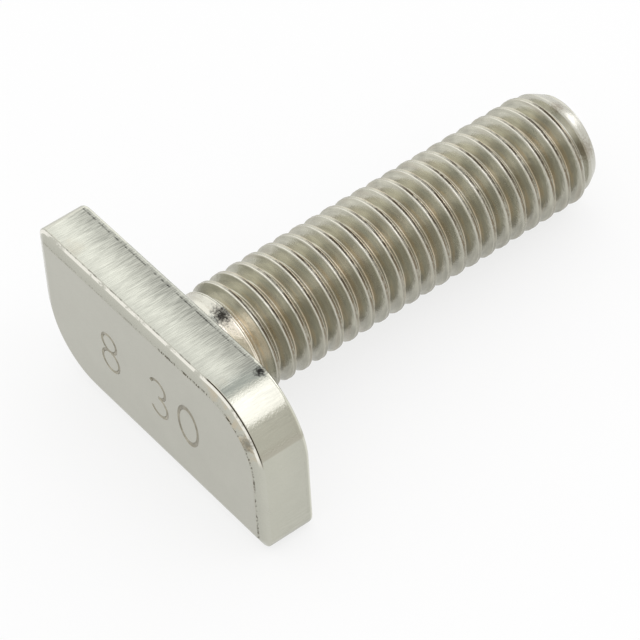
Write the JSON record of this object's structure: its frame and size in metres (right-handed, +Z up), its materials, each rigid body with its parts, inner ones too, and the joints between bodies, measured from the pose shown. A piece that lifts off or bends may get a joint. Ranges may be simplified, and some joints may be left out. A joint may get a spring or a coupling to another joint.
{
  "type": "t slot bolt",
  "caption": "Hammer-head T-slot bolt: a flat oblong head with opposite corners rounded, which turns and locks in a T slot, on a fully threaded metric shank.",
  "frame": {"origin": "where the thread axis meets the head's bearing face", "axes": "+Z up, X along the head's long side, +Y towards the free end of the shank, which dips 3.24 degrees below +Y because the bolt lies on the lower long side of its head and on the last full turn of its thread"},
  "size_m": [0.0226, 0.0341, 0.0114],
  "materials": {
    "stainless": "bright cold formed stainless steel, satin outer face, sides streaked by the die"
  },
  "bodies": {
    "root": {"t_slot_bolt": "stainless"}
  },
  "joints": []
}
